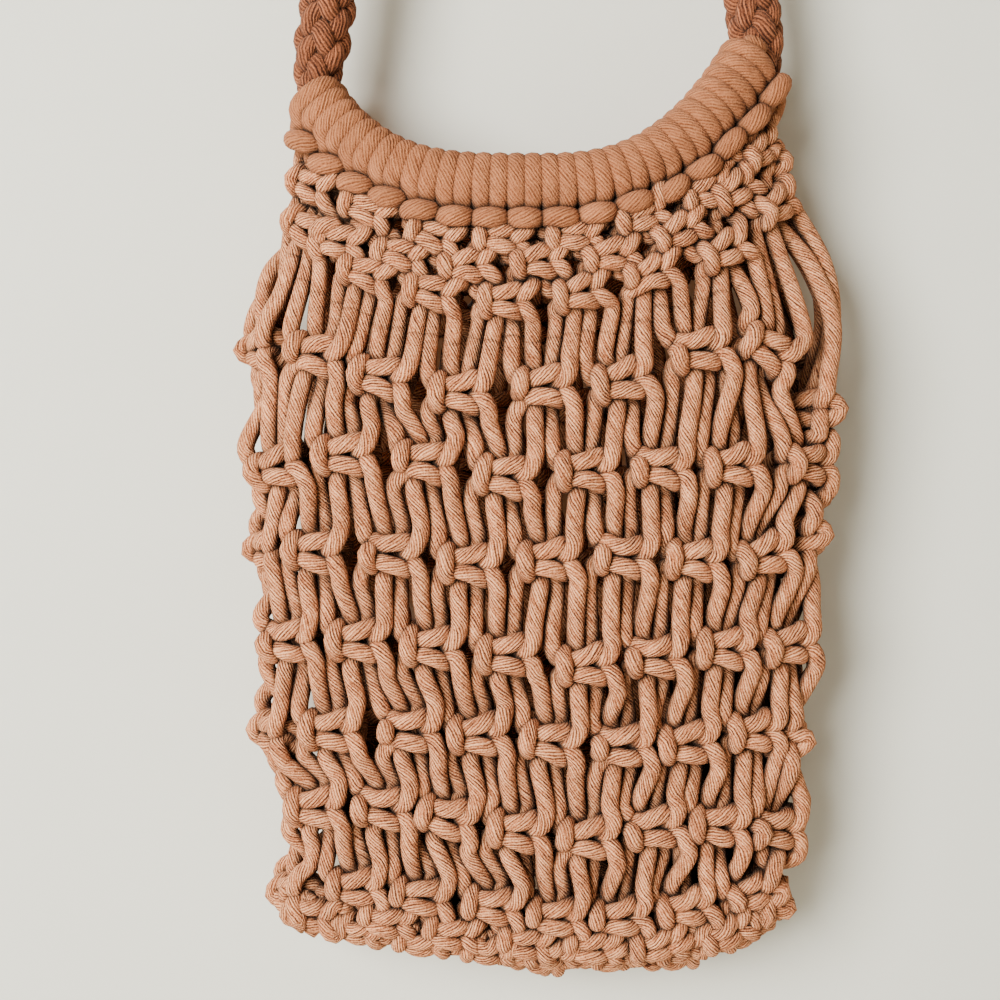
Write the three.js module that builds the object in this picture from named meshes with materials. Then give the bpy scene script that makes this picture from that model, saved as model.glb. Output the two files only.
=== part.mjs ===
// A small knotted cord bag that hangs by its braided strap: a wrapped rim in two halves, a dense
// yoke of square knots, an open net of square knots, and a dense base that closes the bottom.
// Millimetres, +Z up, the front faces -Y. The origin is where the strap's top lies over a peg.
import * as THREE from 'three';

// Driving dimensions
const CORD = 5; // the twisted cotton cord that everything is knotted from
const SEAM = 0.3; // clearance between pieces that lie on each other
const STRAP_THICKNESS = 14.5;
const STRAP_DROP = 340; // from the peg down to the level that the bag's heights start from
const STRAP_FOOT_SPREAD = 28; // the strap's end, front to back, where it parts into both rims
const STRAP_FOOT_LENGTH = 22;
const PEG_RADIUS = 6;
const BAG_WIDTH = 164; // between the two folds where the bag is widest
const BAG_DEPTH = 34; // between the middles of the front and back walls, under the rim
const BAG_HEIGHT = 245; // from the level above down to the lowest point of the base
const RIM_THICKNESS = 17;
const RIM_DEPTH = 34; // between the middles of the two rims, half way along
const RIM_END_RISE = 9; // how far the rims turn up to meet the strap
const KNOT_THICKNESS = 11.5; // front to back through a square knot
const KNOTS_PER_ROUND = 16;
const WRAPS_PER_RIM = 32; // two wraps for each cord that is looped over the rim
const NET_GAP_WIDTH = 6.5; // the slit between two knots of a round
const NET_GAP_REACH = 0.54; // how far the slit runs towards the knots above and below

// Shape constants
const SAG_POWER = 2.3; // how late the rounds turn up towards the folds
const OVAL_POWER = 2.3; // a little fuller than an ellipse
const WRAP_GROOVE = 0.1; // share of the radius between two wraps
const BRAID_SWELL = 0.09; // share of the radius that the strands stand in and out
const STRAP_STEP = 9.5; // one strand crossing along the strap
const RIM_TAPER_SHARE = 0.86; // from here to its end the rim thins to the strap's thickness
const RIM_SIDES = 8;
const RIM_SAMPLES = 24;
const SLOPE_STEP = 0.98; // a share of the way to the fold, to read the rim's slope by
const RIM_END_WRAPS = 4; // how many wraps it takes the rim to turn square to the strap
const STRAP_SIDES = 8;
const OVAL_SAMPLES = 96;
const FOLD_GAP_ANGLES = [90, 145, 190, 270, 350, 35]; // degrees round the slit at a fold
const FOLD_GAP_DROP = 0.45; // shares of the step from the yoke's hem to the next knots
const FOLD_GAP_REACH = 0.28;
const FLOOR_LINE = 1.35; // lines below the hem, where the base's floor starts inside
const FLOOR_SEAM_LINE = 1.6;
const FLOOR_SHARE = new THREE.Vector3(0.96, 0.5, 1); // the floor's middle, drawn in along the seam

// Each line runs once round the bag. Its heights are shares of BAG_HEIGHT, measured down at the
// left fold, the middle and the right fold. Its folds are shares of half of BAG_WIDTH to the left
// and right of the middle, and its depth is a share of BAG_DEPTH. Its creep is how far its knots
// have slid round to the right, as a share of the step from knot to knot.
const LINE_COLUMNS = ['line', 'left', 'middle', 'right', 'leftFold', 'rightFold', 'depth', 'creep'];
const LINES = [
  ['yoke_round_1', 0.108, 0.188, 0.067, 0.85, 0.78, 1, 0],
  ['yoke_round_2', 0.14, 0.215, 0.095, 0.866, 0.82, 1, 0],
  ['yoke_round_3', 0.17, 0.252, 0.125, 0.884, 0.85, 1, 0],
  ['yoke_hem', 0.193, 0.274, 0.15, 0.9, 0.875, 1, 0],
  ['net_round_1', 0.302, 0.347, 0.33, 1, 0.975, 0.95, 0.02],
  ['net_round_2', 0.43, 0.437, 0.43, 1, 0.93, 0.95, 0.08],
  ['net_round_3', 0.526, 0.537, 0.515, 0.97, 0.937, 0.9, 0.05],
  ['net_round_4', 0.62, 0.642, 0.63, 0.968, 0.9, 0.8, 0.1],
  ['net_round_5', 0.727, 0.736, 0.735, 0.958, 0.885, 0.68, 0.18],
  ['net_round_6', 0.8, 0.832, 0.834, 0.928, 0.815, 0.6, 0.33],
  ['net_round_7', 0.9, 0.92, 0.904, 0.908, 0.8, 0.56, 0.38],
  ['base_hem', 0.912, 0.935, 0.917, 0.9, 0.79, 0.55, 0.38],
  ['base_round_1', 0.927, 0.953, 0.936, 0.89, 0.78, 0.53, 0.36],
  ['base_round_2', 0.954, 0.982, 0.962, 0.872, 0.765, 0.44, 0.3],
  ['base_seam', 0.97, 1, 0.977, 0.83, 0.72, 0.2, 0],
].map((row) => Object.fromEntries(LINE_COLUMNS.map((column, i) => [column, row[i]])));

// The rims' middle lines: the same kind of row, with the back one's own heights
const RIMS = {
  front: { left: 0.037, middle: 0.1225, right: -0.018, leftFold: 0.78, rightFold: 0.707 },
  back: { left: 0.022, middle: 0.118, right: -0.018, leftFold: 0.78, rightFold: 0.707 },
};

const COTTON = { color: '#c8906f', roughness: 0.95, metalness: 0 };

const lineNumber = (name) => LINES.findIndex((row) => row.line === name);
const mix = THREE.MathUtils.lerp;

// The row at a whole or part line number, as real sizes
function sectionAt(line) {
  const first = LINES[Math.floor(line)];
  const second = LINES[Math.min(LINES.length - 1, Math.floor(line) + 1)];
  const share = line - Math.floor(line);
  const along = (key) => mix(first[key], second[key], share);
  return {
    left: -STRAP_DROP - along('left') * BAG_HEIGHT,
    middle: -STRAP_DROP - along('middle') * BAG_HEIGHT,
    right: -STRAP_DROP - along('right') * BAG_HEIGHT,
    centre: ((along('rightFold') - along('leftFold')) * BAG_WIDTH) / 4,
    halfWidth: ((along('rightFold') + along('leftFold')) * BAG_WIDTH) / 4,
    halfDepth: (along('depth') * BAG_DEPTH) / 2,
    creep: along('creep') / KNOTS_PER_ROUND,
  };
}

// A point on the oval at an angle from the left fold, and its share of the way to a fold
function ovalAt(section, angle, out = 0) {
  const power = (value) => Math.sign(value) * Math.abs(value) ** (2 / OVAL_POWER);
  const across = -power(Math.cos(angle));
  const deep = -power(Math.sin(angle));
  const x = section.centre + across * (section.halfWidth + out);
  return { point: new THREE.Vector3(x, deep * (section.halfDepth + out), 0), across };
}

// The angle by turn: 0 at the left fold, 0.25 the front, 0.5 the right fold, in equal lengths
function angleByTurn(section, turn) {
  const lengths = [0];
  let last = ovalAt(section, 0).point;
  for (let i = 1; i <= OVAL_SAMPLES; i += 1) {
    const next = ovalAt(section, (2 * Math.PI * i) / OVAL_SAMPLES).point;
    lengths.push(lengths[i - 1] + next.distanceTo(last));
    last = next;
  }
  const round = lengths[OVAL_SAMPLES];
  const wanted = (turn - Math.floor(turn)) * round;
  const i = Math.max(1, lengths.findIndex((length) => length >= wanted));
  const share = (wanted - lengths[i - 1]) / (lengths[i] - lengths[i - 1]);
  return { angle: (2 * Math.PI * (i - 1 + share)) / OVAL_SAMPLES, round };
}

const risen = (row, across) => (
  mix(row.middle, across < 0 ? row.left : row.right, Math.abs(across) ** SAG_POWER)
);

// A point of the bag's wall: how far round, on which line, and how far out from the wall's middle
function wallPoint(line, turn, out) {
  const section = sectionAt(line);
  const { point, across } = ovalAt(section, angleByTurn(section, turn + section.creep).angle, out);
  point.z = risen(section, across);
  return point;
}

// A rim's middle line, from its left end (-1) to its right end (1)
function rimRadius(share) {
  const taper = THREE.MathUtils.smoothstep(Math.abs(share), RIM_TAPER_SHARE, 1);
  return mix(RIM_THICKNESS, STRAP_THICKNESS, taper) / 2;
}

function rimPoint(side, share) {
  const row = RIMS[side];
  const centre = ((row.rightFold - row.leftFold) * BAG_WIDTH) / 4;
  const halfWidth = ((row.rightFold + row.leftFold) * BAG_WIDTH) / 4;
  const mouth = (RIM_DEPTH - RIM_THICKNESS - SEAM) / 2;
  const off = rimRadius(share) + SEAM / 2 + mouth * (1 - Math.abs(share) ** SAG_POWER);
  return new THREE.Vector3(
    centre + share * halfWidth,
    side === 'front' ? -off : off,
    -STRAP_DROP - risen(row, share) * BAG_HEIGHT,
  );
}

// The yoke's top line hangs under the rim with its seam, square to the rim's slope
function yokeTop(turn, out) {
  const point = wallPoint(lineNumber('yoke_round_1'), turn, out);
  const side = turn > 0.5 ? 'back' : 'front';
  const share = (x) => {
    const left = rimPoint(side, -1).x;
    const right = rimPoint(side, 1).x;
    return THREE.MathUtils.clamp((2 * x - left - right) / (right - left), -1, 1);
  };
  const here = rimPoint(side, share(point.x));
  const near = rimPoint(side, share(point.x) * SLOPE_STEP);
  const steep = Math.abs(here.x - near.x) > 0 ? (here.z - near.z) / (here.x - near.x) : 0;
  point.z = here.z - (RIM_THICKNESS / 2 + SEAM) * Math.hypot(1, steep);
  return point;
}

function meshOf(name, positions, triangles) {
  const geometry = new THREE.BufferGeometry();
  geometry.setAttribute('position', new THREE.Float32BufferAttribute(positions, 3));
  geometry.setIndex(triangles);
  geometry.computeVertexNormals();
  const mesh = new THREE.Mesh(geometry, new THREE.MeshStandardMaterial(COTTON));
  mesh.name = name;
  return mesh;
}

// A wall has an outer and an inner face. Its panels are loops of stations, each a pair of points,
// and wherever a panel's edge has no neighbour, a strip closes the wall between both faces.
class Wall {
  constructor() {
    this.stations = new Map();
    this.triangles = [];
  }

  station(key, outer, inner) {
    if (!this.stations.has(key)) {
      this.stations.set(key, { index: this.stations.size, outer, inner });
    }
    return key;
  }

  panel(loop) {
    for (let i = 1; i < loop.length - 1; i += 1) {
      this.triangles.push([loop[0], loop[i], loop[i + 1]]);
    }
  }

  frame(outline, hole) {
    outline.forEach((corner, i) => {
      const next = (i + 1) % outline.length;
      this.panel([corner, outline[next], hole[next], hole[i]]);
    });
  }

  mesh(name) {
    const count = this.stations.size;
    const all = [...this.stations.values()];
    const points = [...all.map((station) => station.outer), ...all.map((station) => station.inner)];
    const positions = points.flatMap((point) => point.toArray());
    const index = (key) => this.stations.get(key).index;
    const edges = new Set();
    const triangles = [];
    this.triangles.forEach(([a, b, c]) => {
      triangles.push(index(a), index(b), index(c));
      triangles.push(count + index(a), count + index(c), count + index(b));
      [[a, b], [b, c], [c, a]].forEach(([from, to]) => edges.add(`${from}>${to}`));
    });
    edges.forEach((edge) => {
      const [from, to] = edge.split('>');
      if (edges.has(`${to}>${from}`)) return;
      const [a, b] = [index(from), index(to)];
      const leftFirst = all[a].outer.x < all[b].outer.x;
      triangles.push(b, a, count + (leftFirst ? b : a));
      triangles.push(leftFirst ? a : b, count + a, count + b);
    });
    return meshOf(name, positions, triangles);
  }
}

// A solid through rings of points, closed flat at both ends
function loft(name, rings) {
  const sides = rings[0].length;
  const positions = rings.flat().flatMap((point) => point.toArray());
  const triangles = [];
  for (let ring = 0; ring < rings.length - 1; ring += 1) {
    for (let i = 0; i < sides; i += 1) {
      const a = ring * sides + i;
      const b = ring * sides + ((i + 1) % sides);
      triangles.push(a, b, b + sides, a, b + sides, a + sides);
    }
  }
  const last = (rings.length - 1) * sides;
  for (let i = 1; i < sides - 1; i += 1) {
    triangles.push(0, i + 1, i, last, last + i, last + i + 1);
  }
  return meshOf(name, positions, triangles);
}

function ringAround(centre, tangent, radiusAcross, radiusDeep, sides) {
  const deep = new THREE.Vector3(0, 1, 0).addScaledVector(tangent, -tangent.y).normalize();
  const across = new THREE.Vector3().crossVectors(deep, tangent);
  return Array.from({ length: sides }, (_, i) => {
    const angle = (2 * Math.PI * (i + 0.5)) / sides;
    return centre.clone()
      .addScaledVector(across, radiusAcross * Math.cos(angle))
      .addScaledVector(deep, radiusDeep * Math.sin(angle));
  });
}

// The strap's foot stands a little above the ends of both rims, which turn up to meet it
function strapFoot(share) {
  const end = rimPoint('front', share);
  return new THREE.Vector2(end.x, end.z + RIM_END_RISE);
}

function strapCourse() {
  const left = strapFoot(-1);
  const right = strapFoot(1);
  const radius = PEG_RADIUS + STRAP_THICKNESS / 2;
  const peg = new THREE.Vector2(0, -PEG_RADIUS);
  const angleTo = (foot, hand) => {
    const line = foot.clone().sub(peg);
    return Math.atan2(line.y, line.x) - hand * Math.acos(radius / line.length());
  };
  const start = angleTo(left, 1);
  const finish = angleTo(right, -1);
  const course = new THREE.Path();
  course.moveTo(left.x, left.y);
  course.lineTo(peg.x + radius * Math.cos(start), peg.y + radius * Math.sin(start));
  course.absarc(peg.x, peg.y, radius, start, finish, true);
  course.lineTo(right.x, right.y);
  return course;
}

// Rim: a thick cord core, wrapped all along by the loops of the bag's cords
function makeRim(name, side) {
  const strap = strapCourse();
  const ends = [0, 1].map((at) => {
    const foot = strap.getPointAt(at);
    const along = strap.getTangentAt(at);
    const share = 2 * at - 1;
    const gap = share * SEAM;
    return {
      centre: new THREE.Vector3(
        foot.x + gap * along.x,
        rimPoint(side, share).y,
        foot.y + gap * along.y,
      ),
      tangent: new THREE.Vector3(-along.x, 0, -along.y),
    };
  });
  const curve = new THREE.CatmullRomCurve3([ends[0].centre, ends[1].centre]);
  for (let i = 1; i < RIM_SAMPLES; i += 1) {
    curve.points.splice(i, 0, rimPoint(side, (2 * i) / RIM_SAMPLES - 1));
  }
  const steps = 2 * WRAPS_PER_RIM;
  const rings = [];
  for (let i = 0; i <= steps; i += 1) {
    const groove = i % 2 ? 0 : WRAP_GROOVE;
    const radius = rimRadius((2 * i) / steps - 1) * (1 - groove);
    const end = ends[Math.round(i / steps)];
    const turned = Math.min(1, Math.min(i, steps - i) / RIM_END_WRAPS);
    const tangent = end.tangent.clone().lerp(curve.getTangentAt(i / steps), turned).normalize();
    rings.push(ringAround(curve.getPointAt(i / steps), tangent, radius, radius, RIM_SIDES));
  }
  return loft(name, rings);
}

// Strap: a thick round braid, which lies over the peg and stands on both ends of the rims
function makeStrap() {
  const course = strapCourse();
  const steps = Math.round(course.getLength() / STRAP_STEP);
  const rings = [];
  for (let i = 0; i <= steps; i += 1) {
    const point = course.getPointAt(i / steps);
    const tangent = course.getTangentAt(i / steps);
    const swell = i % 2 ? BRAID_SWELL : 0;
    const narrow = i % 2 ? 0 : BRAID_SWELL;
    const fromEnd = Math.min(i, steps - i) * STRAP_STEP;
    const foot = 1 - THREE.MathUtils.smoothstep(fromEnd, 0, STRAP_FOOT_LENGTH);
    rings.push(ringAround(
      new THREE.Vector3(point.x, 0, point.y),
      new THREE.Vector3(tangent.x, 0, tangent.y),
      (STRAP_THICKNESS / 2) * (1 - swell),
      mix((STRAP_THICKNESS / 2) * (1 - narrow), STRAP_FOOT_SPREAD / 2, foot),
      STRAP_SIDES,
    ));
  }
  return loft('strap', rings);
}

const COLUMNS = 2 * KNOTS_PER_ROUND;
const HALF_CORD = CORD / 2;
const HALF_KNOT = KNOT_THICKNESS / 2;

// Rounds alternate: on every second one the knots sit half a knot further round
const isKnot = (round, column) => (round + column) % 2 === 1;

// How far the wall's outer face stands out: the knots on the two folds are drawn flat
const proud = (knot, column) => (knot && column % KNOTS_PER_ROUND !== 0 ? HALF_KNOT : HALF_CORD);

// Yoke: three close rounds of square knots under the rim
function makeYoke() {
  const wall = new Wall();
  const hem = lineNumber('yoke_hem');
  const rows = [-1, 0, 1, 2, hem];
  rows.forEach((line) => {
    for (let column = 0; column < COLUMNS; column += 1) {
      const turn = column / COLUMNS;
      const knot = line < 0 || (line < hem && isKnot(line, column));
      const half = knot ? HALF_KNOT : HALF_CORD;
      const lift = line === hem ? SEAM : 0;
      const at = (out) => {
        const point = line < 0 ? yokeTop(turn, out) : wallPoint(line, turn, out);
        return point.setZ(point.z + lift);
      };
      wall.station(`${line}:${column}`, at(proud(knot, column)), at(-half));
    }
  });
  for (let row = 0; row < rows.length - 1; row += 1) {
    for (let column = 0; column < COLUMNS; column += 1) {
      const next = (column + 1) % COLUMNS;
      const high = rows[row];
      const low = rows[row + 1];
      const loop = [`${low}:${column}`, `${low}:${next}`, `${high}:${next}`, `${high}:${column}`];
      wall.panel(isKnot(high, column) ? [...loop.slice(1), loop[0]] : loop);
    }
  }
  return wall.mesh('yoke');
}

// Net: open rounds of square knots. Each slit lies between two knots of a round, in a diamond
// whose corners are those two knots and the knots above and below.
function makeNet() {
  const wall = new Wall();
  const top = lineNumber('yoke_hem');
  const bottom = lineNumber('base_hem');
  const wrap = (column) => (column + COLUMNS) % COLUMNS;

  const station = (line, column) => {
    const within = Number.isInteger(line) && line > top && line < bottom;
    const knot = within && isKnot(line, column);
    const half = knot ? HALF_KNOT : HALF_CORD;
    const turn = wrap(column) / COLUMNS;
    const outer = wallPoint(line, turn, proud(knot, column));
    return wall.station(`${line}:${wrap(column)}`, outer, wallPoint(line, turn, -half));
  };

  const slit = (line, column, angles, reach) => {
    const { round } = angleByTurn(sectionAt(line), 0);
    const halfWidth = (NET_GAP_WIDTH / 2 / round) * COLUMNS;
    return angles.map((angle) => {
      const away = column + halfWidth * Math.cos(angle);
      const down = line - reach * Math.sin(angle);
      const turn = wrap(away) / COLUMNS;
      return wall.station(
        `slit:${line}:${column}:${angle.toFixed(3)}`,
        wallPoint(down, turn, HALF_CORD),
        wallPoint(down, turn, -HALF_CORD),
      );
    });
  };

  for (let line = top + 1; line < bottom; line += 1) {
    for (let column = 0; column < COLUMNS; column += 1) {
      if (isKnot(line, column)) continue;
      const outline = [
        station(line, column + 1), station(line - 0.5, column + 0.5), station(line - 1, column),
        station(line - 0.5, column - 0.5), station(line, column - 1),
        station(line + 0.5, column - 0.5), station(line + 1, column),
        station(line + 0.5, column + 0.5),
      ];
      const angles = outline.map((_, i) => (Math.PI * i) / 4);
      wall.frame(outline, slit(line, column, angles, NET_GAP_REACH));
    }
  }

  // Half diamonds close the net along the yoke and along the base. At the two folds the upper one
  // is open too, between the long loose cords.
  [[top, 1], [bottom, -1]].forEach(([line, down]) => {
    for (let column = 0; column < COLUMNS; column += 1) {
      if (!isKnot(line + down, column)) continue;
      const outline = [
        station(line, column), station(line, column - 1),
        station(line + down / 2, column - 0.5), station(line + down, column),
        station(line + down / 2, column + 0.5), station(line, column + 1),
      ];
      const loop = down > 0 ? outline : [outline[0], ...outline.slice(1).reverse()];
      const fold = column % KNOTS_PER_ROUND === 0;
      if (down > 0 && fold) {
        const angles = FOLD_GAP_ANGLES.map(THREE.MathUtils.degToRad);
        wall.frame(loop, slit(line + FOLD_GAP_DROP, column, angles, FOLD_GAP_REACH));
      } else {
        wall.panel(loop);
      }
    }
  });
  return wall.mesh('net');
}

// Base: two close rounds of knots turned under and drawn shut along a seam
function makeBase() {
  const wall = new Wall();
  const hem = lineNumber('base_hem');
  const seam = lineNumber('base_seam');
  const floor = { [seam - 1]: hem + FLOOR_LINE, [seam]: hem + FLOOR_SEAM_LINE };
  for (let line = hem; line <= seam; line += 1) {
    for (let column = 0; column < COLUMNS; column += 1) {
      const turn = column / COLUMNS;
      const knot = line !== hem && isKnot(line, column);
      const half = knot ? HALF_KNOT : HALF_CORD;
      const outer = wallPoint(line, turn, proud(knot, column));
      const inner = line === seam
        ? wallPoint(floor[line], turn, -HALF_KNOT).multiply(FLOOR_SHARE)
        : wallPoint(floor[line] ?? line, turn, -half);
      if (line === hem) {
        outer.z -= SEAM;
        inner.z -= SEAM;
      }
      wall.station(`${line}:${column}`, outer, inner);
    }
  }
  for (let line = hem; line < seam; line += 1) {
    for (let column = 0; column < COLUMNS; column += 1) {
      const next = (column + 1) % COLUMNS;
      const low = line + 1;
      const loop = [`${low}:${column}`, `${low}:${next}`, `${line}:${next}`, `${line}:${column}`];
      wall.panel(isKnot(line, column) ? [...loop.slice(1), loop[0]] : loop);
    }
  }
  for (let column = 0; column < COLUMNS / 2; column += 1) {
    const front = [`${seam}:${column}`, `${seam}:${column + 1}`];
    const back = [(COLUMNS - column) % COLUMNS, COLUMNS - column - 1].map((far) => `${seam}:${far}`);
    const loop = [front[1], front[0], back[0], back[1]];
    wall.panel([...new Set(loop)]);
  }
  return wall.mesh('base');
}

const bag = new THREE.Group();
bag.add(makeStrap());
bag.add(makeRim('rim_front', 'front'));
bag.add(makeRim('rim_back', 'back'));
bag.add(makeYoke());
bag.add(makeNet());
bag.add(makeBase());

export default bag;
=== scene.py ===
import math
import bpy
import numpy as np
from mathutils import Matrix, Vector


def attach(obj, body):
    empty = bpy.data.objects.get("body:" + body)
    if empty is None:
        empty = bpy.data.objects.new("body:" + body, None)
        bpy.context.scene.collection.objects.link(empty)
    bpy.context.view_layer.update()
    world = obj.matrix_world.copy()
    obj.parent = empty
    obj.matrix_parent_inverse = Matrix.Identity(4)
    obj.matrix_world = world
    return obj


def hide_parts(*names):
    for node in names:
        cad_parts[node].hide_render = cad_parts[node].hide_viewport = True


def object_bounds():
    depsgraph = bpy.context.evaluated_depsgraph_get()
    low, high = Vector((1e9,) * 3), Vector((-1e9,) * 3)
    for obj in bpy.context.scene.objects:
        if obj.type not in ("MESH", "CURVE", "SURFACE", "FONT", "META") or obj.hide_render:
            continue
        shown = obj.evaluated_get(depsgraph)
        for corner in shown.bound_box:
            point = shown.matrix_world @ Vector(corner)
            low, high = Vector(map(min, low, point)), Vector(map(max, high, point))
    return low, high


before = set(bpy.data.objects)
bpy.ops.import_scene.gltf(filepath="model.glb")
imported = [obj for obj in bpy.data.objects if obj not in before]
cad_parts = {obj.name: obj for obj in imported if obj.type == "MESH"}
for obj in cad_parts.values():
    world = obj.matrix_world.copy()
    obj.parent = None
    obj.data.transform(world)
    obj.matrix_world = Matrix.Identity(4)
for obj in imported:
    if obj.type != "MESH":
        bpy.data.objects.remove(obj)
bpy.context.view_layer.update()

# Camera and studio
# The bag hangs close in front of a plain matt board, over a plain pale floor. The camera stands
# straight in front of it, near enough that the strap's top is above the picture.
MM = 0.001
PICTURE = 1000  # pixels each way
PIXELS_PER_MM = 3.6  # in the upright plane through the middle of the bag
VIEW_DISTANCE = 455  # millimetres from the camera to that plane
VIEW_CENTRE = (-12.5, -455.3)  # the picture's middle, in x and z
BOARD_GAP = 1.0
FLOOR_DROP = 120.0
STAGE_REACH = 2.0  # metres each way
SENSOR = 36
SPECKLES = 60.0  # to a metre of paint


def put(name, kind):
    thing = bpy.data.objects.new(name, kind)
    bpy.context.scene.collection.objects.link(thing)
    return thing


def linear(hex_colour, alpha=1.0):
    channels = [int(hex_colour[i:i + 2], 16) / 255 for i in (1, 3, 5)]
    bent = [c / 12.92 if c <= 0.04045 else ((c + 0.055) / 1.055) ** 2.4 for c in channels]
    return (*bent, alpha)


def add(tree, kind, inputs=None, **settings):
    node = tree.nodes.new(kind)
    for name, value in settings.items():
        setattr(node, name, value)
    for name, value in (inputs or {}).items():
        if isinstance(value, bpy.types.NodeSocket):
            tree.links.new(value, node.inputs[name])
        else:
            node.inputs[name].default_value = value
    return node


def new_material(name):
    material = bpy.data.materials.new(name)
    material.use_nodes = True
    material.node_tree.nodes.clear()
    return material, material.node_tree


camera = put("camera", bpy.data.cameras.new("camera"))
camera.data.sensor_width = SENSOR
camera.data.lens = SENSOR * VIEW_DISTANCE * PIXELS_PER_MM / PICTURE
camera.data.clip_start = 0.01
camera.location = (VIEW_CENTRE[0] * MM, -VIEW_DISTANCE * MM, VIEW_CENTRE[1] * MM)
camera.rotation_euler = (math.pi / 2, 0, 0)
bpy.context.scene.camera = camera


def stage_sheet(name, corners, colour):
    mesh = bpy.data.meshes.new(name)
    mesh.from_pydata(corners, [], [range(4)])
    sheet = put(name, mesh)
    material, tree = new_material(name + "_matt_paint")
    speckle = add(tree, "ShaderNodeTexNoise", {"Scale": SPECKLES, "Detail": 4.0})
    tint = add(tree, "ShaderNodeValToRGB", {"Fac": speckle.outputs["Fac"]})
    tint.color_ramp.elements[0].color = linear(colour[0])
    tint.color_ramp.elements[1].color = linear(colour[1])
    paint = add(tree, "ShaderNodeBsdfDiffuse", {"Color": tint.outputs["Color"]})
    # A sheet is clear from behind and shades nothing, so the bag's back can be seen and is lit
    clear = add(tree, "ShaderNodeBsdfTransparent")
    side = add(tree, "ShaderNodeNewGeometry")
    mix = add(tree, "ShaderNodeMixShader",
              {"Fac": side.outputs["Backfacing"], 1: paint.outputs[0], 2: clear.outputs[0]})
    add(tree, "ShaderNodeOutputMaterial", {"Surface": mix.outputs[0]})
    mesh.materials.append(material)
    sheet.visible_shadow = False


low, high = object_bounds()
board_y = high[1] + BOARD_GAP * MM
floor_z = low[2] - FLOOR_DROP * MM
board_corners = [(-STAGE_REACH, board_y, floor_z), (STAGE_REACH, board_y, floor_z),
                 (STAGE_REACH, board_y, STAGE_REACH), (-STAGE_REACH, board_y, STAGE_REACH)]
floor_corners = [(-STAGE_REACH, -STAGE_REACH, floor_z), (STAGE_REACH, -STAGE_REACH, floor_z),
                 (STAGE_REACH, STAGE_REACH, floor_z), (-STAGE_REACH, STAGE_REACH, floor_z)]
stage_sheet("board", board_corners, ("#d0ccbb", "#d6d2c1"))
stage_sheet("floor", floor_corners, ("#cfcec7", "#d5d4cd"))


def soft_light(name, place, aim, size, power, colour="#ffffff"):
    lamp = put(name, bpy.data.lights.new(name, "AREA"))
    lamp.data.shape = "DISK"
    lamp.data.size = size
    lamp.data.energy = power
    lamp.data.color = linear(colour)[:3]
    lamp.location = place
    towards = np.array(aim) - np.array(place)
    lamp.rotation_euler = (
        math.acos(-towards[2] / np.linalg.norm(towards)),
        0,
        math.atan2(towards[1], towards[0]) - math.pi / 2,
    )


# A broad lamp from the left gives the photo's soft shade to the right of the bag
bag_middle = (VIEW_CENTRE[0] * MM, 0, VIEW_CENTRE[1] * MM)
soft_light("key_light", (-0.85, -1.3, -0.2), bag_middle, 1.0, 79, "#f8fbff")
soft_light("fill_light", (1.0, -1.3, -0.3), bag_middle, 1.4, 2, "#ffecd2")
soft_light("back_light", (-0.7, 1.2, 0.3), bag_middle, 1.0, 16, "#fffdfa")
sky = bpy.data.worlds.new("studio")
sky.use_nodes = True
sky.node_tree.nodes["Background"].inputs["Color"].default_value = linear("#eedbbf")
sky.node_tree.nodes["Background"].inputs["Strength"].default_value = 0.21
sky.cycles.sampling_method = "NONE"  # so that none of it comes through the board from behind
bpy.context.scene.world = sky

# Cords and their square knots
# The yoke, net and base are one run of knotting. Sixty-four ends of 5 mm twisted cotton cord hang
# from the rims and are tied in rounds of sixteen square knots, each from the halves of two above.
CORD = 5.0
STEP = 1.32  # between two rings of a cord's surface
SIDES = 12
KNOTS = 16
OVAL_POWER = 2.3

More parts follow.
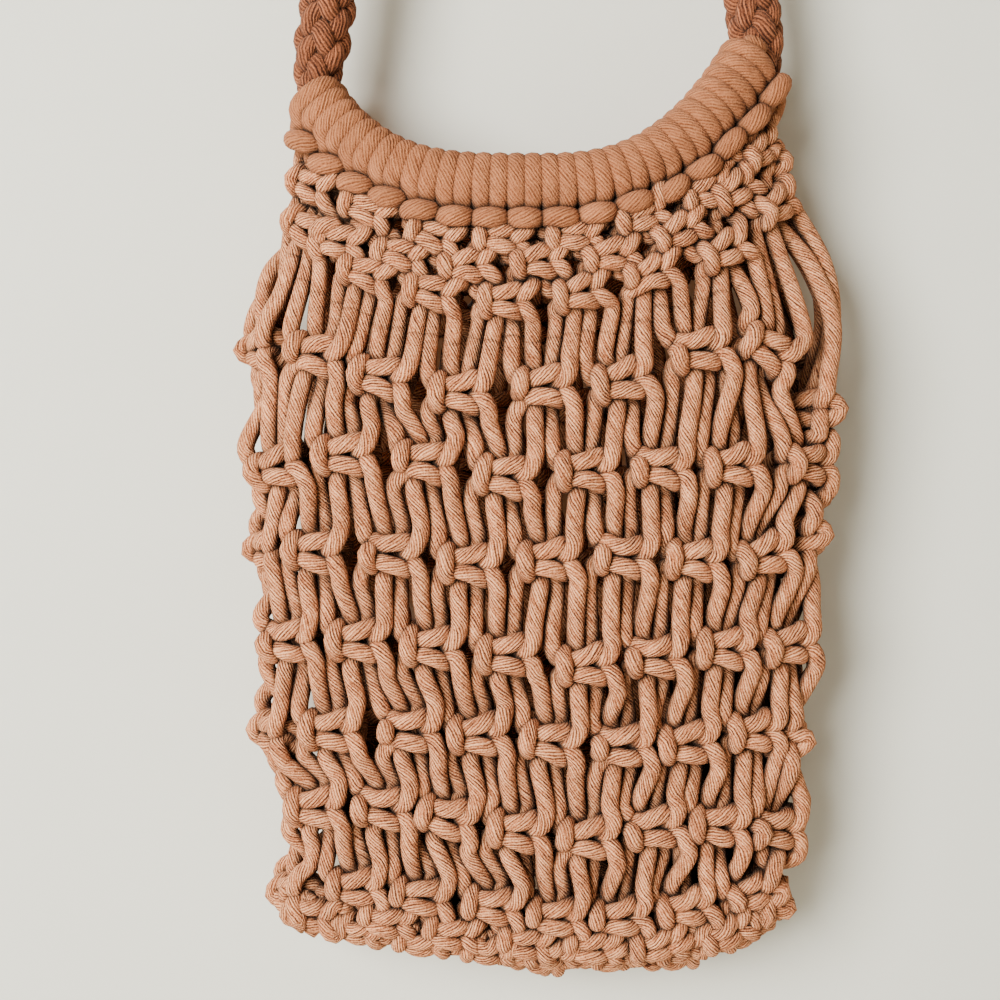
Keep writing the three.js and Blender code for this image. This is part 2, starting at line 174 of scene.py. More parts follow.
# One row a round. snug is how thick the drawn cords are and squat how low the knots are, as
# shares of the loose ones. The folds are where the round turns from front to back, in millimetres
# from the middle; half_depth is half of the way between front and back; lean is how far the knots
# face down, in degrees. knots_seen are the middles of the front's knots in the picture, from left
# to right, in pixels, and each round that has a knot on either fold starts and ends with those.
ROUND_COLUMNS = ["name", "snug", "squat", "left_fold", "right_fold", "half_depth", "lean", "knots_seen"]
ROUNDS = [dict(zip(ROUND_COLUMNS, row)) for row in [
    ["yoke_1", 0.88, 1.0, -65, 59, 16.5, 0, [
        (310, 185), (365, 207), (432, 236), (500, 240), (573, 237), (642, 215), (706, 192), (760, 151)]],
    ["yoke_2", 0.88, 1.0, -63.5, 60, 16.5, 0, [
        (284, 215), (337, 241), (398, 255), (466, 265), (538, 260), (610, 255), (678, 231), (735, 190),
        (788, 165)]],
    ["yoke_3", 0.88, 1.0, -68, 64, 16.2, 0, [
        (305, 228), (365, 272), (430, 291), (505, 300), (580, 292), (650, 272), (725, 250), (778, 205)]],
    ["net_1", 0.98, 1.0, -75, 73, 15, 0, [
        (252, 351), (316, 355), (381, 378), (461, 392), (545, 386), (623, 380), (701, 351), (770, 351),
        (831, 410)]],
    ["net_2", 0.98, 1.0, -78, 73, 15, 0, [
        (277, 467), (345, 455), (426, 462), (506, 477), (587, 471), (662, 468), (734, 465), (811, 464)]],
    ["net_3", 0.98, 1.0, -73, 69.5, 14, 0, [
        (262, 551), (314, 552), (393, 555), (470, 565), (549, 560), (625, 557), (696, 560), (766, 555),
        (823, 536)]],
    ["net_4", 0.98, 1.0, -76, 71, 12.5, 0, [
        (289, 642), (359, 641), (433, 648), (508, 655), (588, 665), (657, 658), (726, 649), (791, 645)]],
    ["net_5", 0.98, 1.0, -71.5, 64.5, 11, 0, [
        (269, 732), (331, 731), (411, 731), (479, 735), (552, 743), (624, 746), (689, 744), (756, 732),
        (806, 738)]],
    ["net_6", 0.98, 1.0, -72.5, 64, 10, 0, [
        (316, 808), (384, 809), (447, 818), (519, 832), (589, 838), (656, 829), (719, 826), (778, 830)]],
    ["net_7", 0.92, 0.9, -66.5, 57.5, 9, 0, [
        (287, 893), (357, 888), (422, 898), (493, 907), (557, 918), (621, 918), (687, 909), (754, 893),
        (788, 885)]],
    ["base_1", 0.88, 1.0, -67.5, 59, 8.5, 12, [
        (309, 914), (385, 920), (450, 932), (524, 943), (591, 946), (656, 944), (726, 932), (772, 908)]],
    ["base_2", 0.86, 1.0, -64, 55, 7, 42, [
        (292, 906), (355, 929), (420, 942), (488, 950), (550, 954), (615, 954), (680, 947), (742, 931),
        (782, 902)]],
    ["base_seam", 0.84, 1.0, -63, 54, 3.6, 78, [
        (318, 919), (387, 933), (452, 945), (520, 953), (585, 956), (650, 952), (714, 938), (764, 918)]],
]]
EDGE_SHARE = 0.995  # of the way from the middle to the fold, as far as the oval is followed
KNOT_SHARE = 0.97  # and as far as a knot may sit
BACK_SHIFT = 1.6  # how far the back's knots lie from the front's, at most
BACK_CREEP = 7.0  # how far the back has slid round against the front, half way across
BACK_HANG = 4.0  # how far the back hangs below the front, half way across
KNOT_TURN = 3.5  # degrees that a knot is turned by, more or less
FOLD_TURN = 28  # degrees that a knot on the left fold faces to the front
FACE = 1.0  # from a knot's middle to the face that shows, in cord thicknesses
FACE_TRIES = 4  # rounds of bringing that face to where it is seen

rng = np.random.default_rng(7)


def unit(vector):
    vector = np.asarray(vector, float)
    return vector / np.linalg.norm(vector)


def seen_at(pixel, depth):
    """The point that shows at a pixel, at a depth behind the middle plane."""
    share = (VIEW_DISTANCE + depth) / VIEW_DISTANCE / PIXELS_PER_MM
    half = PICTURE / 2
    return np.array([
        VIEW_CENTRE[0] + (pixel[0] - half) * share,
        depth,
        VIEW_CENTRE[1] - (pixel[1] - half) * share,
    ])


def oval_depth(row, x):
    middle = (row["left_fold"] + row["right_fold"]) / 2
    half = (row["right_fold"] - row["left_fold"]) / 2
    across = min(EDGE_SHARE, abs(x - middle) / half)
    return row["half_depth"] * (1 - across ** OVAL_POWER) ** (1 / OVAL_POWER)


def within(row, x):
    middle = (row["left_fold"] + row["right_fold"]) / 2
    half = (row["right_fold"] - row["left_fold"]) / 2
    return middle + np.clip(x - middle, -half * KNOT_SHARE, half * KNOT_SHARE)


def axes_at(row, x, z_slope, way):
    """Across, up and out of a knot that sits at x on one side of the bag."""
    step = 0.5
    deep = [way * oval_depth(row, x + side * step) for side in (-1, 1)]
    across = unit([-way * 2 * step, -way * (deep[1] - deep[0]), -way * 2 * step * z_slope])
    out = unit(np.cross([across[0], across[1], 0], [0, 0, 1]))
    up = np.cross(out, across)
    lean = math.radians(row["lean"])
    return np.array([across, math.cos(lean) * up + math.sin(lean) * out,
                     math.cos(lean) * out - math.sin(lean) * up])


def knots_of(row):
    """Middle and axes of each knot of a round, from the left fold round the front and back."""
    folded = len(row["knots_seen"]) > KNOTS // 2
    face = FACE * CORD * row["snug"]
    seen = np.array(row["knots_seen"], float)
    slopes = -np.gradient(seen[:, 1]) / np.gradient(seen[:, 0])
    front = []
    for pixel, slope in zip(seen, slopes):
        point = seen_at(pixel, 0)
        for _ in range(FACE_TRIES):
            axes = axes_at(row, within(row, point[0]), slope, -1)
            depth = -oval_depth(row, point[0])
            point = seen_at(pixel, depth + face * axes[2][1]) - face * axes[2]
        point[0] = within(row, point[0])
        front.append({"middle": point, "axes": axes, "row": row})
    if folded:
        for end, x, out, turn in ((0, row["left_fold"], -1, FOLD_TURN), (-1, row["right_fold"], 1, 0)):
            point = seen_at(row["knots_seen"][end], 0)
            point[0] = x
            ahead, aside = math.sin(math.radians(turn)), math.cos(math.radians(turn))
            front[end] = {"middle": point, "row": row, "axes": np.array([
                [ahead, out * aside, 0], [0, 0, 1], [out * aside, -ahead, 0]])}
    inner = front[1:-1] if folded else front
    slopes = slopes[1:-1] if folded else slopes
    middle = (row["left_fold"] + row["right_fold"]) / 2
    half = (row["right_fold"] - row["left_fold"]) / 2
    back = []
    for knot, slope in zip(inner[::-1], slopes[::-1]):
        shift = rng.uniform(-BACK_SHIFT, BACK_SHIFT, 2)
        x = knot["middle"][0] + shift[0]
        x += BACK_CREEP * (1 - min(1, abs(x - middle) / half) ** 4)
        hang = BACK_HANG * (1 - min(1, abs(x - middle) / half) ** 2)
        point = np.array([x, oval_depth(row, x), knot["middle"][2] + shift[1] - hang])
        back.append({"middle": point, "axes": axes_at(row, x, slope, 1), "row": row})
    knots = front + back
    for knot in knots:
        knot["axes"] = turned(knot["axes"], rng.normal(0, math.radians(KNOT_TURN)))
    return knots


def turned(axes, angle):
    across, up, out = axes
    return np.array([math.cos(angle) * across + math.sin(angle) * up,
                     math.cos(angle) * up - math.sin(angle) * across, out])


# A square knot, in cord thicknesses from its middle: across, up and out. The left cord comes in
# on the left, makes the two bars in front and goes out on the left. The right cord comes in over
# the bars' right end, goes behind, shows as the bump over their left end, and goes behind and out
# again. Two filler cords hang through the middle. In the close rounds the knots are drawn tighter.
LOOSE_KNOT = {
    "left": [(-1.75, 1.5, 0.75), (-1.62, 0.95, 0.75), (-1.35, 0.5, 0.4), (-0.75, 0.42, 0.95),
             (-0.05, 0.52, 1.2), (0.6, 0.64, 1.02), (1.0, 0.58, 0.3), (1.2, 0.28, -0.35),
             (1.15, -0.22, -0.4), (1.05, -0.54, 0.1), (0.65, -0.6, 0.88), (0.1, -0.52, 1.2),
             (-0.55, -0.4, 1.05), (-1.1, -0.4, 0.5), (-1.4, -0.75, 0.4), (-1.65, -1.5, 0.35)],
    "filler_1": [(-0.6, 1.3, 0.35), (-0.42, 0.6, 0.1), (-0.42, -0.6, 0.1), (-0.55, -1.3, 0.5)],
    "filler_2": [(0.4, 1.3, 0.0), (0.3, 0.6, 0.0), (0.3, -0.6, 0.0), (0.4, -1.3, -0.2)],
    "right": [(1.45, 1.5, 1.0), (1.36, 0.9, 1.2), (1.2, 0.42, 1.15), (0.9, 0.14, 0.85),
              (0.5, 0.06, 0.1), (0.0, 0.12, -0.7), (-0.5, 0.3, -0.9), (-0.95, 0.52, -0.4),
              (-1.2, 0.46, 0.8), (-1.28, 0.0, 1.5), (-1.2, -0.46, 0.8), (-0.95, -0.54, -0.4),
              (-0.5, -0.32, -0.95), (0.0, -0.12, -0.75), (0.5, -0.06, 0.0), (0.95, -0.14, 0.8),
              (1.28, -0.42, 1.08), (1.5, -1.0, 1.0), (1.55, -1.5, 0.8)],
}
CLOSE_KNOT = {
    "left": [(-1.95, 0.95, 0.35), (-1.6, 0.55, 0.4), (-1.1, 0.42, 0.45), (-0.6, 0.38, 0.95),
             (0.0, 0.48, 1.15), (0.55, 0.6, 0.95), (0.95, 0.5, 0.2), (1.1, 0.1, -0.35),
             (1.0, -0.42, 0.1), (0.55, -0.56, 0.9), (0.0, -0.48, 1.15), (-0.6, -0.38, 1.0),
             (-1.1, -0.42, 0.4), (-1.5, -0.7, 0.15), (-1.6, -1.05, 0.0)],
    "filler_1": [(-0.5, 0.95, 0.3), (-0.35, 0.4, 0.1), (-0.35, -0.4, 0.1), (-0.5, -1.0, 0.2)],
    "filler_2": [(0.35, 0.95, 0.1), (0.3, 0.4, 0.0), (0.3, -0.4, 0.0), (0.45, -1.0, -0.1)],
    "right": [(1.75, 1.05, 0.7), (1.4, 0.6, 1.0), (1.1, 0.26, 0.95), (0.7, 0.08, 0.2),
              (0.1, 0.15, -0.7), (-0.5, 0.35, -0.85), (-0.9, 0.52, -0.3), (-1.1, 0.46, 0.75),
              (-1.15, 0.0, 1.4), (-1.1, -0.46, 0.75), (-0.9, -0.52, -0.3), (-0.5, -0.35, -0.9),
              (0.1, -0.15, -0.8), (0.7, -0.1, 0.1), (1.1, -0.3, 0.85), (1.5, -0.75, 0.85),
              (1.7, -1.05, 0.5)],
}
# Where a cord's end goes in the round below: which way, and what it does there
NEXT_PLACE = {
    "left": ("left", "filler_2"),
    "filler_1": ("left", "right"),
    "filler_2": ("right", "left"),
    "right": ("right", "filler_1"),
}
ROUND_KNOTS = [knots_of(row) for row in ROUNDS]


# How cords are drawn: how thick, how near their middles may come as a share of that, how firmly
# they are held in place, and which part of the bag they are in
WAY_OF = {"loose": (0.68, 0.12), "close": (0.66, 0.12), "span": (0.9, 0.01), "wrap": (0.8, 0.1)}
HAND = 0.035  # how far a knot's cords stray from where they should lie, in cord thicknesses
PARTS = ["rim", "yoke", "net", "base"]


def drawn(points, snug, way, part):
    near, hold = WAY_OF[way]
    return [(*point, snug, near, hold, PARTS.index(part)) for point in points]


def knot_points(number, index, task):
    knot = ROUND_KNOTS[number][index]
    row = knot["row"]
    part = row["name"].split("_")[0]
    close = part != "net"
    shape = np.array((CLOSE_KNOT if close else LOOSE_KNOT)[task]) * CORD
    shape *= row["snug"] if close else [1, row["squat"], row["snug"]]
    shape += rng.normal(0, HAND * CORD, shape.shape)
    points = knot["middle"] + shape @ knot["axes"]
    if close:
        return drawn(points, row["snug"], "close", part)
    return (drawn(points[:1], row["snug"], "span", part)
            + drawn(points[1:-1], row["snug"], "loose", part)
            + drawn(points[-1:], row["snug"], "span", part))


# Cords that bow out or in on their way to a fold, in millimetres at a share of their length: those
# that come from the bag's front, then those from its back
BOWS = {
    ("net_1", "left"): ([(0.35, -0.5), (0.7, -1.0)], [(0.35, 4.0), (0.7, 3.5)]),
    ("net_1", "right"): ([(0.3, 6.0), (0.65, 6.5)], [(0.3, 6.0), (0.65, 6.5)]),
    ("net_7", "left"): ([(0.4, -2.6), (0.75, -3.0)], []),
}
FROM_FRONT = {"left": ("filler_2", "right"), "right": ("left", "filler_1")}


def end_course(index, task):
    """The points of one cord end, from the first round of knots to the last."""
    points = []
    for number, row in enumerate(ROUNDS):
        here = knot_points(number, index, task)
        fold = {0: "left", KNOTS // 2: "right"}.get(index)
        if (row["name"], fold) in BOWS:
            bows = BOWS[row["name"], fold][0 if task in FROM_FRONT[fold] else 1]
            out = -1 if fold == "left" else 1
            top, bottom = np.array(points[-1][:3]), np.array(here[0][:3])
            hanging = [top + share * (bottom - top) + [out * bow, 0, 0] for share, bow in bows]
            points.extend(drawn(hanging, row["snug"], "span", "net"))
        points.extend(here)
        way, task = NEXT_PLACE[task]
        if len(row["knots_seen"]) > KNOTS // 2:
            index = (index - 1) % KNOTS if way == "left" else index
        else:
            index = index if way == "left" else (index + 1) % KNOTS
    return points


# Rims
# Each rim is a thick cord core. Sixteen cotton cords are folded in half and looped over it with
# lark's head knots, so that two wraps stand side by side and a short bar crosses below them.
RIM_CORE = 3.6
HEADS = 16  # on each rim
HEADS_END = 0.968  # of the rim's length from the left
RIM_ENDS = {"left": -63.5, "right": 57.5}
RIMS = {
    "front": {"way": -1, "left": -345, "middle": -370.5, "right": -330.5, "powers": (3.4, 2.7)},
    "back": {"way": 1, "left": -342, "middle": -369, "right": -330, "powers": (3.2, 2.7)},
}
RIM_HALF_DEPTH = (7.6, 17.0)  # at the strap and half way along
RIM_BOW = 2.3  # the higher, the straighter the rim's middle seen from above
RIM_POINTS = 201  # that a rim's length is measured by
FINE_STEP = 0.5  # between the points of a curve before it is cut into even steps

# Round a rim, for one half of a folded cord: along the rim in cord thicknesses, out and up in
# millimetres, and how thick the cord is
LARKS_HEAD = [
    (-0.4, 0.8, -12.2, 0.92), (-0.45, 2.6, -8.2, 0.98), (-0.48, 4.9, -4.4, 1.06),
    (-0.48, 5.8, 0.2, 1.12), (-0.48, 4.2, 4.1, 1.12), (-0.48, 0.0, 5.8, 1.1), (-0.48, -4.2, 4.1, 1.1),
    (-0.48, -5.8, 0.0, 1.1), (-0.5, -4.5, -4.6, 1.0), (-0.52, -2.2, -8.0, 0.96),
    (-0.56, 0.8, -9.8, 1.0), (-0.5, 4.0, -10.0, 1.1), (0.0, 5.4, -10.1, 1.2),
]
LOW_POINTS = (0, 1, -3, -2, -1)
BAR_LEVEL = {"left": 0.75, "right": 0.2}  # how far a bar turns level where the rim slopes


def rim_point(side, share):
    rim = RIMS[side]
    end = "left" if share < 0 else "right"
    x = (RIM_ENDS["left"] + RIM_ENDS["right"]) / 2 + share * (RIM_ENDS["right"] - RIM_ENDS["left"]) / 2
    rise = abs(share) ** rim["powers"][0 if share < 0 else 1]
    bow = 1 - abs(share) ** RIM_BOW
    depth = RIM_HALF_DEPTH[0] + (RIM_HALF_DEPTH[1] - RIM_HALF_DEPTH[0]) * bow
    return np.array([x, rim["way"] * depth, rim["middle"] + (rim[end] - rim["middle"]) * rise])


def rim_frames(side, count):
    """Middles and axes at even lengths along a rim, the travel running left to right outside."""
    shares = np.linspace(-1, 1, RIM_POINTS)
    line = np.array([rim_point(side, share) for share in shares])
    if RIMS[side]["way"] > 0:
        line = line[::-1]
    lengths = np.concatenate([[0], np.cumsum(np.linalg.norm(np.diff(line, axis=0), axis=1))])
    wanted = lengths[-1] * HEADS_END * (np.arange(count) + 0.5) / count
    if RIMS[side]["way"] > 0:
        wanted += lengths[-1] * (1 - HEADS_END)
    frames = []
    for length in wanted:
        i = int(np.clip(np.searchsorted(lengths, length), 1, len(line) - 1))
        share = (length - lengths[i - 1]) / (lengths[i] - lengths[i - 1])
        along = unit(line[i] - line[i - 1])
        out = unit(np.cross([along[0], along[1], 0], [0, 0, 1]))
        up = np.cross(out, along)
        frames.append((line[i - 1] + share * (line[i] - line[i - 1]), np.array([along, out, up])))
    return frames


def head_points(middle, axes, mirrored):
    shape = np.array(LARKS_HEAD)
    thick = shape[:, 3]
    shape = shape[:, :3] * [CORD * (-1 if mirrored else 1), 1, 1]
    along = axes[0]
    level = BAR_LEVEL["left" if middle[0] < 0 else "right"]
    flat = unit([along[0], along[1], along[2] * (1 - level)])
    up = np.cross(axes[1], flat)
    bar_axes = np.array([flat, axes[1], up if up[2] > 0 else -up])
    points = middle + shape @ axes
    low = middle + shape @ bar_axes
    for i in LOW_POINTS:
        points[i] = low[i]
    return [row for point, snug in zip(points, thick) for row in drawn([point], snug, "wrap", "rim")]


def smooth_course(rows, step=STEP):
    """A curve through the rows' points, cut into even steps, with the rows' other values at each."""
    rows = np.array(rows)
    points = rows[:, :3]
    ends = np.vstack([2 * points[0] - points[1], points, 2 * points[-1] - points[-2]])
    spans = np.sqrt(np.linalg.norm(np.diff(ends, axis=0), axis=1)) + 1e-6
    knots = np.concatenate([[0], np.cumsum(spans)])
    fine = []
    places = []
    for i in range(1, len(ends) - 2):
        p0, p1, p2, p3 = ends[i - 1:i + 3]
        t0, t1, t2, t3 = knots[i - 1:i + 3]
        count = max(2, int(np.linalg.norm(p2 - p1) / FINE_STEP))
        t = np.linspace(t1, t2, count, endpoint=False)[:, None]
        a1 = (t1 - t) / (t1 - t0) * p0 + (t - t0) / (t1 - t0) * p1
        a2 = (t2 - t) / (t2 - t1) * p1 + (t - t1) / (t2 - t1) * p2
        a3 = (t3 - t) / (t3 - t2) * p2 + (t - t2) / (t3 - t2) * p3
        b1 = (t2 - t) / (t2 - t0) * a1 + (t - t0) / (t2 - t0) * a2
        b2 = (t3 - t) / (t3 - t1) * a2 + (t - t1) / (t3 - t1) * a3
        fine.append((t2 - t) / (t2 - t1) * b1 + (t - t1) / (t2 - t1) * b2)
        places.append(i - 1 + np.linspace(0, 1, count, endpoint=False))
    fine = np.vstack(fine + [points[-1:]])
    places = np.concatenate(places + [[len(points) - 1]])
    lengths = np.concatenate([[0], np.cumsum(np.linalg.norm(np.diff(fine, axis=0), axis=1))])
    even = np.linspace(0, lengths[-1], int(round(lengths[-1] / step)) + 1)
    course = np.stack([np.interp(even, lengths, fine[:, i]) for i in range(3)], axis=1)
    place = np.interp(even, lengths, places)
    values = [np.interp(place, np.arange(len(rows)), rows[:, i]) for i in range(3, rows.shape[1])]
    return [course] + values


def cord_course(side, head, frames):
    """A whole cord: up one end, over the rim and back, and down the other end."""
    middle, axes = frames[head]
    index = (0 if side == "front" else KNOTS // 2) + head // 2
    tasks = ("left", "filler_1") if head % 2 == 0 else ("filler_2", "right")
    first = end_course(index, tasks[0])
    second = end_course(index, tasks[1])
    over = head_points(middle, axes, False) + head_points(middle, axes, True)[::-1][1:]
    course, snug, near, hold, part = smooth_course(first[::-1] + over + second)
    return {"side": side, "course": course, "radius": snug * CORD / 2, "near": near, "hold": hold,
            "part": np.round(part).astype(int)}


cords = []
for side in RIMS:
    frames = rim_frames(side, HEADS)
    cords.extend(cord_course(side, head, frames) for head in range(HEADS))


def near_pairs(points, reach):
    """Every two points nearer than reach, by sorting them into cells of that size."""
    cells = np.floor(points / reach).astype(np.int64)
    cells -= cells.min(0) - 1
    size = cells.max(0) + 2
    keys = (cells[:, 0] * size[1] + cells[:, 1]) * size[2] + cells[:, 2]
    order = np.argsort(keys, kind="stable")
    ranked = keys[order]
    found = []
    for dx in (-1, 0, 1):
        for dy in (-1, 0, 1):
            for dz in (-1, 0, 1):
                if (dx, dy, dz) < (0, 0, 0):
                    continue
                wanted = keys + (dx * size[1] + dy) * size[2] + dz
                start = np.searchsorted(ranked, wanted, "left")
                count = np.searchsorted(ranked, wanted, "right") - start
                first = np.repeat(np.arange(len(points)), count)
                offset = np.arange(count.sum()) - np.repeat(np.cumsum(count) - count, count)
                second = order[np.repeat(start, count) + offset]
                if (dx, dy, dz) == (0, 0, 0):
                    keep = first < second
                    first, second = first[keep], second[keep]
                near = np.einsum("ij,ij->i", points[first] - points[second], points[first] - points[second])
                keep = near < reach * reach
                found.append(np.stack([first[keep], second[keep]]))
    return np.concatenate(found, axis=1)


SETTLE_ROUNDS = 90
LOOK_AGAIN = 10  # rounds until the near points are looked up again
LOOK_REACH = CORD * 1.15
OWN_REACH = 8.0  # a cord doesn't push itself nearer than this along its length
PUSH = 1.3  # of the way that would part two cords
STIFFNESS = 0.35  # of the way back to its own bend that a cord goes in a round
KEEP_BEND = 0.95


def settle(cords, fixed_points, fixed_radius):
    """Cords that overlap push each other aside, while each keeps its own bends and place."""
    points = np.vstack([c["course"] for c in cords] + [fixed_points])
    reach_of = np.concatenate([c["radius"] * c["near"] for c in cords]
                              + [np.full(len(fixed_points), fixed_radius)])
    hold = np.concatenate([c["hold"] for c in cords])[:, None]
    cord_of = np.concatenate([np.full(len(c["course"]), i) for i, c in enumerate(cords)]
                             + [np.full(len(fixed_points), -1)])
    count = len(hold)
    start = points.copy()
    inner = np.ones(count, bool)
    ends = np.cumsum([0] + [len(c["course"]) for c in cords])
    inner[ends[:-1]] = False
    inner[ends[1:] - 1] = False
    inside = np.flatnonzero(inner)
    bend = start[inside] - (start[inside - 1] + start[inside + 1]) / 2
    for turn in range(SETTLE_ROUNDS):
        if turn % LOOK_AGAIN == 0:
            first, second = near_pairs(points, LOOK_REACH)
            own = (cord_of[first] == cord_of[second]) & (np.abs(first - second) * STEP < OWN_REACH)
            keep = ~own & ~((first >= count) & (second >= count))
            first, second = first[keep], second[keep]
            reach = reach_of[first] + reach_of[second]
        apart = points[first] - points[second]
        gap = np.sqrt(np.einsum("ij,ij->i", apart, apart)) + 1e-9
        push = np.clip(reach - gap, 0, None)
        touching = push > 0
        a, b = first[touching], second[touching]
        move = apart[touching] / gap[touching, None] * push[touching, None] * 0.5
        total = np.stack([np.bincount(a, move[:, axis], len(points))
                          - np.bincount(b, move[:, axis], len(points)) for axis in range(3)], axis=1)
        weight = np.bincount(a, minlength=len(points)) + np.bincount(b, minlength=len(points))
        total /= np.maximum(weight, 1)[:, None]
        points[:count] += PUSH * total[:count]
        for _ in range(2):
            rest = (points[inside - 1] + points[inside + 1]) / 2 + bend * KEEP_BEND
            points[inside] += STIFFNESS * (rest - points[inside])
        points[:count] += hold * (start[:count] - points[:count])
    for cord, first, last in zip(cords, ends[:-1], ends[1:]):
        cord["course"] = points[first:last]


CORE_POINTS = 110  # along each rim, for the cords to lie against
core_line = np.array([rim_point(side, share) for side in RIMS for share in np.linspace(-1, 1, CORE_POINTS)])
settle(cords, core_line, RIM_CORE)


def tube_rings(course, radius, sides=SIDES):
    """Rings of points round a course, turned as little as can be from one to the next."""
    along = np.gradient(course, axis=0)
    along /= np.linalg.norm(along, axis=1)[:, None]
    side = unit(np.cross(along[0], [0.3, 0.5, 0.8]))  # any direction that no cord starts in
    sides_list = []
    for direction in along:
        side = unit(side - direction * (side @ direction))
        sides_list.append(side)
    side = np.array(sides_list)
    other = np.cross(along, side)
    angles = 2 * math.pi * np.arange(sides) / sides
    return (course[:, None, :]
            + radius[:, None, None] * (np.cos(angles)[None, :, None] * side[:, None, :]
                                       + np.sin(angles)[None, :, None] * other[:, None, :]))


def pressed(rings, centres, outward, wide, flat):
    """Rings of a cord pressed against what it lies on: wider along that and flatter outward."""
    offset = rings - centres[:, None, :]
    deep = np.einsum("ijk,ik->ij", offset, outward)[:, :, None] * outward[:, None, :]
    return centres[:, None, :] + wide * (offset - deep) + flat * deep


def cord_mesh(name, tubes):
    """One mesh from many tubes, each (rings, length at each ring). Its map is length and turn."""
    verts = []
    loops = []
    starts = []
    sizes = []
    maps = []
    base = 0
    loop_at = 0
    for rings, lengths in tubes:
        count, sides = rings.shape[:2]
        verts.append(rings.reshape(-1, 3))
        i = np.arange(count - 1)[:, None]
        j = np.arange(sides)[None, :]
        a = base + i * sides + j
        b = base + i * sides + (j + 1) % sides
        quads = np.stack([a, b, b + sides, a + sides], axis=-1).reshape(-1)
        u0 = np.broadcast_to(lengths[:-1, None], a.shape)
        u1 = np.broadcast_to(lengths[1:, None], a.shape)
        v0 = np.broadcast_to(j / sides, a.shape)
        v1 = np.broadcast_to((j + 1) / sides, a.shape)
        maps.append(np.stack([np.stack([u0, v0], -1), np.stack([u0, v1], -1),
                              np.stack([u1, v1], -1), np.stack([u1, v0], -1)], axis=-2).reshape(-1, 2))
        loops.append(quads)
        faces = a.size
        starts.append(loop_at + 4 * np.arange(faces))
        sizes.append(np.full(faces, 4))
        loop_at += 4 * faces
        for end, order in ((0, slice(None, None, -1)), (count - 1, slice(None))):
            loops.append((base + end * sides + np.arange(sides))[order])
            maps.append(np.tile([[lengths[end], 0.5]], (sides, 1)))
            starts.append([loop_at])
            sizes.append([sides])
            loop_at += sides
        base += count * sides
    verts = np.vstack(verts) * MM
    loops = np.concatenate(loops)
    mesh = bpy.data.meshes.new(name)
    mesh.vertices.add(len(verts))
    mesh.vertices.foreach_set("co", verts.ravel())
    mesh.loops.add(len(loops))
    mesh.loops.foreach_set("vertex_index", loops.astype(np.int32))
    starts = np.concatenate(starts)
    mesh.polygons.add(len(starts))
    mesh.polygons.foreach_set("loop_start", starts.astype(np.int32))
    mesh.polygons.foreach_set("use_smooth", np.ones(len(starts), bool))
    mesh.update(calc_edges=True)
    mesh.uv_layers.new(name="thread").data.foreach_set("uv", np.vstack(maps).astype(np.float32).ravel())
    mesh.validate()
    return put(name, mesh)


# Twisted cotton is combed fibre: a soft matt surface with fine slanting threads, whose tone changes
# from thread to thread, and whose colour is darkened with painted shade deep between the cords
THREADS = 16  # round the cord, some of them drawn as one because single ones are too fine to show
THREAD_RISE = 20.0  # millimetres along the cord for one turn of a thread
FIBRE_LENGTH = 7.0  # millimetres along a thread before its shade changes
THREAD_WANDER = 0.07  # of a turn that a thread strays
WANDERS = 260.0  # to a metre, so every 4 mm
PATCHES = 110.0  # to a metre, so every 9 mm
FIBRES = 2300.0  # to a metre: real fibres are finer, and these are the finest that show
GLOOM_REACH = 20 * MM  # how far off cords still add to the painted shade between them
CONTACT_SHADE_REACH = 1.6 * MM  # how near two cords are where a thin line of painted shade parts them
FIBRE_RELIEF = 0.5 * MM


